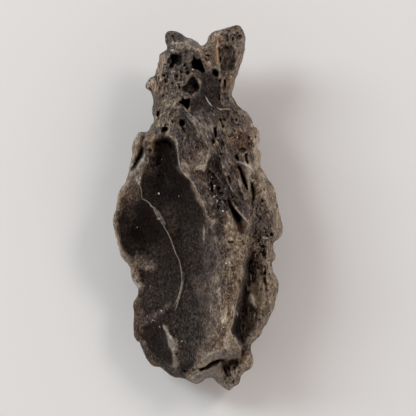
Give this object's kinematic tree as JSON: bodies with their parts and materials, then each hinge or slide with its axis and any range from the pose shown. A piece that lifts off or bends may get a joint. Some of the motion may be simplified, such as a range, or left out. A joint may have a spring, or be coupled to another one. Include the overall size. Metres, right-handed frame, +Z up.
{
  "type": "darwin glass specimen",
  "caption": "Twisted shard of dark natural impact glass with a bubbly weathered head, two long shell-shaped fracture scoops and a lumpy flange, lying on its flattened keels.",
  "frame": {"origin": "centre of the specimen's outline, on the plane that it rests on", "axes": "+Y along the length towards the horned head, +Z up out of the fractured face, +X to the side of the lumpy flange"},
  "size_m": [0.0234, 0.05, 0.0146],
  "materials": {
    "impact_glass": "opaque dark brown-black natural glass: satin on the fresh fractures, frosted tan-grey weathering skin on the lumps"
  },
  "bodies": {
    "root": {"darwin_glass": "impact_glass"}
  },
  "joints": []
}
